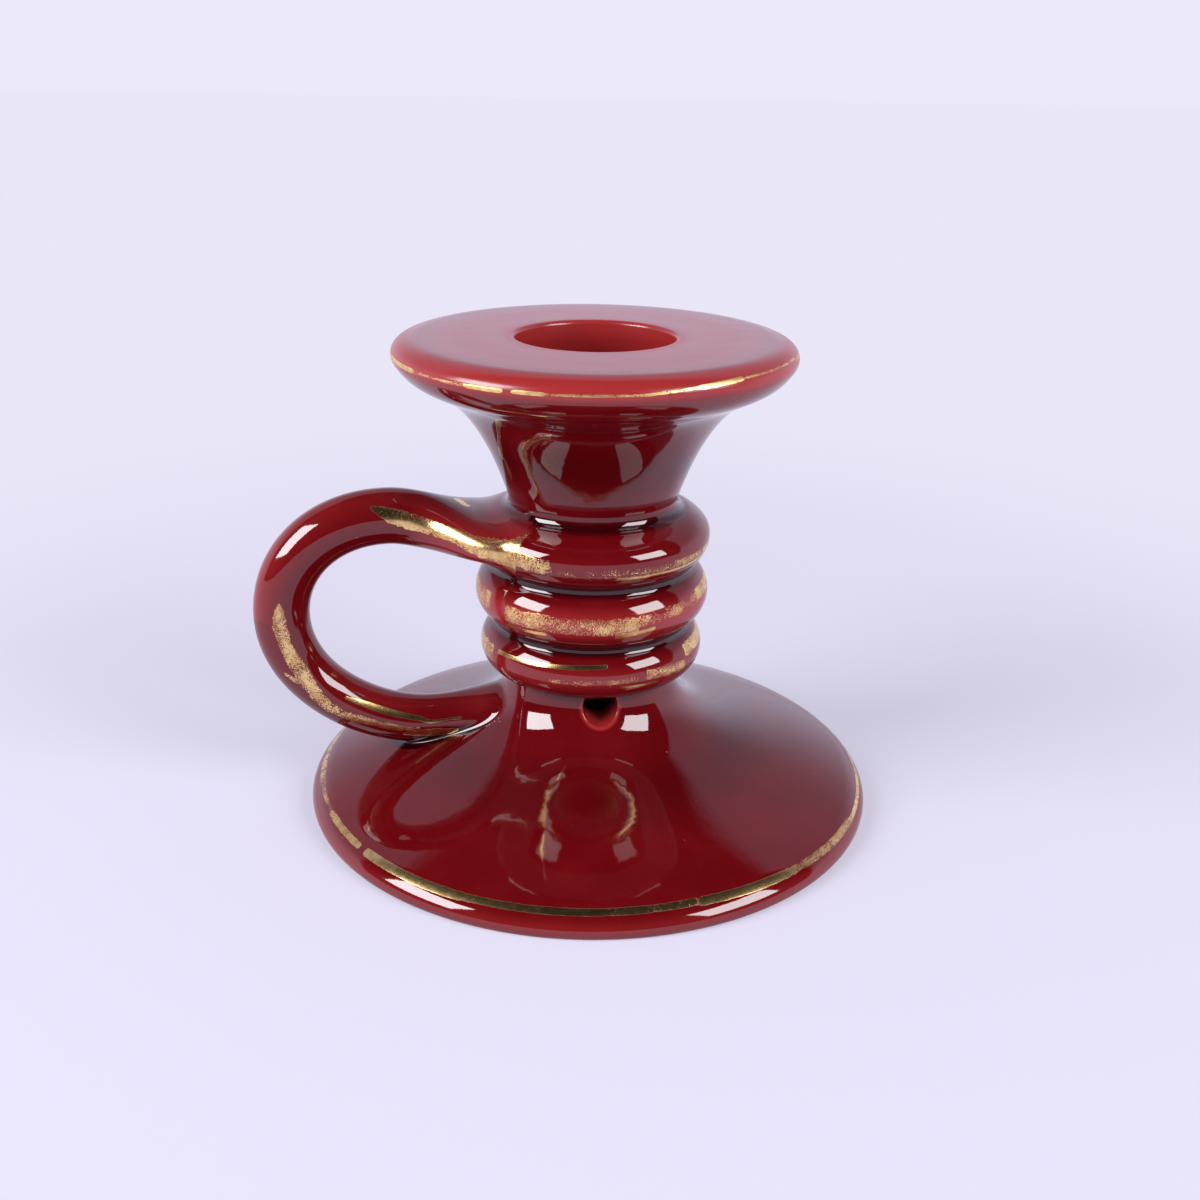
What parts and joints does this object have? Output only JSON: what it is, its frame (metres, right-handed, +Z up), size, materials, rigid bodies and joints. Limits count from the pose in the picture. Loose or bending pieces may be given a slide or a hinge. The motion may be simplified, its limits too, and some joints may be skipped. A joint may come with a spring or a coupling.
{
  "type": "chamberstick with finger loop",
  "caption": "Low ceramic chamberstick: bell foot, coil-wound stem with a round finger loop, and a flared drip pan with a sunk candle socket.",
  "frame": {"origin": "centre of the foot ring, on the table", "axes": "+Z up the stem and out of the candle socket, -X towards the finger loop, -Y towards the vent hole"},
  "size_m": [0.0991, 0.0918, 0.075],
  "materials": {
    "red_glaze": "deep crimson gloss glaze with worn gold lustre lines",
    "bare_clay": "unglazed fired clay"
  },
  "bodies": {
    "root": {"base_bell": "red_glaze", "stem_tube": "bare_clay", "coil_lower": "red_glaze", "coil_middle": "red_glaze", "coil_upper": "red_glaze", "drip_pan": "red_glaze", "candle_socket": "red_glaze", "finger_loop": "red_glaze"}
  },
  "joints": []
}
